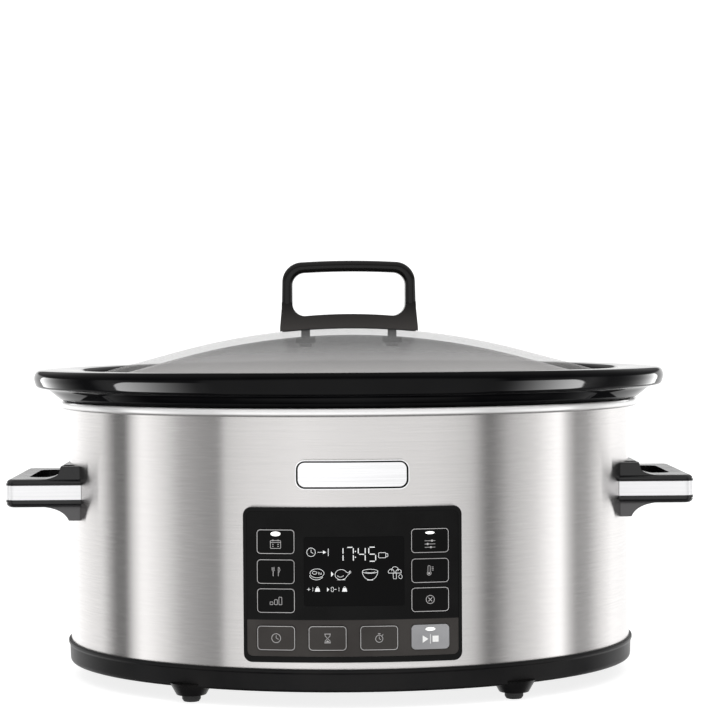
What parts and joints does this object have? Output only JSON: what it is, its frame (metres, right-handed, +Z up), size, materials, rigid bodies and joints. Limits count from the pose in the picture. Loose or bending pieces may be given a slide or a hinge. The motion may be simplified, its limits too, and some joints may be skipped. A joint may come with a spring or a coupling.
{
  "type": "slow cooker",
  "caption": "Oval electric slow cooker: brushed steel base with side handles, front keypad and display, lift-out black stoneware crock, domed glass lid with loop handle.",
  "frame": {"origin": "centre of the overall plan extents, on the plane under the feet", "axes": "+X to the right seen from the front (along the two side handles), the control panel faces -Y, +Z up"},
  "size_m": [0.4314, 0.2846, 0.2645],
  "materials": {
    "steel_body": "brushed stainless steel, grain along the long way round",
    "steel_inner": "plain aluminised sheet",
    "black_plastic": "smooth black, semi-gloss",
    "black_matte": "fine matt black",
    "foot_rubber": "soft matt black",
    "satin_trim": "fine satin, brighter than the body",
    "panel_black": "glossy black frame",
    "panel_print": "satin black face, grey lower field",
    "display_glass": "dark tinted clear window, polished",
    "lcd_part": "dark display cell",
    "key_plastic": "satin black keys with pale outline",
    "start_plastic": "pale grey key",
    "badge_metal": "polished plate with satin field",
    "stoneware": "thick glossy black glaze",
    "lid_clear": "clear tempered glass, polished",
    "seal_rubber": "grey-black silicone",
    "zinc_screw": "zinc-plated steel",
    "board_green": "solder-mask green laminate",
    "part_black": "moulded component black",
    "part_yellow": "film capacitor yellow",
    "copper_core": "varnished laminations and winding tape",
    "mica_heater": "mica and glass-fibre cloth",
    "wire_sleeve": "glass-fibre and silicone sleeving",
    "ribbon_grey": "flat grey ribbon",
    "led_clear": "clear diffusing lens"
  },
  "bodies": {
    "base_unit": {"housing_wrap": "steel_body", "wrap_brackets": "steel_inner", "heating_well": "steel_inner", "heater_band": "mica_heater", "band_clamp": "steel_inner", "heat_shield": "steel_inner", "shield_plate": "steel_inner", "base_pan": "black_matte", "foot_front_left": "foot_rubber", "foot_front_right": "foot_rubber", "foot_rear_left": "foot_rubber", "foot_rear_right": "foot_rubber", "base_screws": "zinc_screw", "power_board": "board_green", "power_relay": "part_black", "filter_capacitor": "part_yellow", "power_transformer": "copper_core", "terminal_block": "ribbon_grey", "thermal_fuse": "wire_sleeve", "temperature_sensor": "steel_inner", "sensor_spring": "zinc_screw", "mains_wires": "wire_sleeve", "heater_wires": "wire_sleeve", "sensor_wires": "wire_sleeve", "ribbon_cable": "ribbon_grey", "panel_bezel": "panel_black", "panel_face": "panel_print", "display_window": "display_glass", "lcd_module": "lcd_part", "control_board": "board_green", "tact_switches": "part_black", "indicator_leds": "led_clear", "board_screws": "zinc_screw", "panel_back_cover": "black_matte", "handle_grip_right": "black_plastic", "handle_grip_left": "black_plastic", "handle_trim_right": "satin_trim", "handle_trim_left": "satin_trim", "handle_plate_right": "steel_inner", "handle_plate_left": "steel_inner", "handle_screws": "zinc_screw", "badge": "badge_metal", "cord_gland": "black_matte"},
    "crock": {"crock": "stoneware"},
    "lid": {"lid_glass": "lid_clear", "lid_handle": "black_plastic", "lid_handle_gasket": "seal_rubber", "lid_washers": "seal_rubber", "lid_screws": "zinc_screw"},
    "key_left_1_cap": {"key_left_1": "key_plastic"},
    "key_left_2_cap": {"key_left_2": "key_plastic"},
    "key_left_3_cap": {"key_left_3": "key_plastic"},
    "key_right_1_cap": {"key_right_1": "key_plastic"},
    "key_right_2_cap": {"key_right_2": "key_plastic"},
    "key_right_3_cap": {"key_right_3": "key_plastic"},
    "key_low_1_cap": {"key_low_1": "key_plastic"},
    "key_low_2_cap": {"key_low_2": "key_plastic"},
    "key_low_3_cap": {"key_low_3": "key_plastic"},
    "key_start_cap": {"key_start": "start_plastic"}
  },
  "joints": [
    {"name": "crock_lift", "type": "slide", "parent": "base_unit", "child": "crock", "axis": [0, 0, 1], "range_m": [0, 0.15]},
    {"name": "lid_lift", "type": "slide", "parent": "crock", "child": "lid", "axis": [0, 0, 1], "range_m": [0, 0.1]},
    {"name": "press_key_left_1", "type": "slide", "parent": "base_unit", "child": "key_left_1_cap", "axis": [0, 1, 0], "range_m": [0, 0.0006], "stiffness_N_per_m": 800, "springref_m": -0.0004},
    {"name": "press_key_left_2", "type": "slide", "parent": "base_unit", "child": "key_left_2_cap", "axis": [0, 1, 0], "range_m": [0, 0.0006], "stiffness_N_per_m": 800, "springref_m": -0.0004},
    {"name": "press_key_left_3", "type": "slide", "parent": "base_unit", "child": "key_left_3_cap", "axis": [0, 1, 0], "range_m": [0, 0.0006], "stiffness_N_per_m": 800, "springref_m": -0.0004},
    {"name": "press_key_right_1", "type": "slide", "parent": "base_unit", "child": "key_right_1_cap", "axis": [0, 1, 0], "range_m": [0, 0.0006], "stiffness_N_per_m": 800, "springref_m": -0.0004},
    {"name": "press_key_right_2", "type": "slide", "parent": "base_unit", "child": "key_right_2_cap", "axis": [0, 1, 0], "range_m": [0, 0.0006], "stiffness_N_per_m": 800, "springref_m": -0.0004},
    {"name": "press_key_right_3", "type": "slide", "parent": "base_unit", "child": "key_right_3_cap", "axis": [0, 1, 0], "range_m": [0, 0.0006], "stiffness_N_per_m": 800, "springref_m": -0.0004},
    {"name": "press_key_low_1", "type": "slide", "parent": "base_unit", "child": "key_low_1_cap", "axis": [0, 1, 0], "range_m": [0, 0.0006], "stiffness_N_per_m": 800, "springref_m": -0.0004},
    {"name": "press_key_low_2", "type": "slide", "parent": "base_unit", "child": "key_low_2_cap", "axis": [0, 1, 0], "range_m": [0, 0.0006], "stiffness_N_per_m": 800, "springref_m": -0.0004},
    {"name": "press_key_low_3", "type": "slide", "parent": "base_unit", "child": "key_low_3_cap", "axis": [0, 1, 0], "range_m": [0, 0.0006], "stiffness_N_per_m": 800, "springref_m": -0.0004},
    {"name": "press_key_start", "type": "slide", "parent": "base_unit", "child": "key_start_cap", "axis": [0, 1, 0], "range_m": [0, 0.0006], "stiffness_N_per_m": 800, "springref_m": -0.0004}
  ]
}
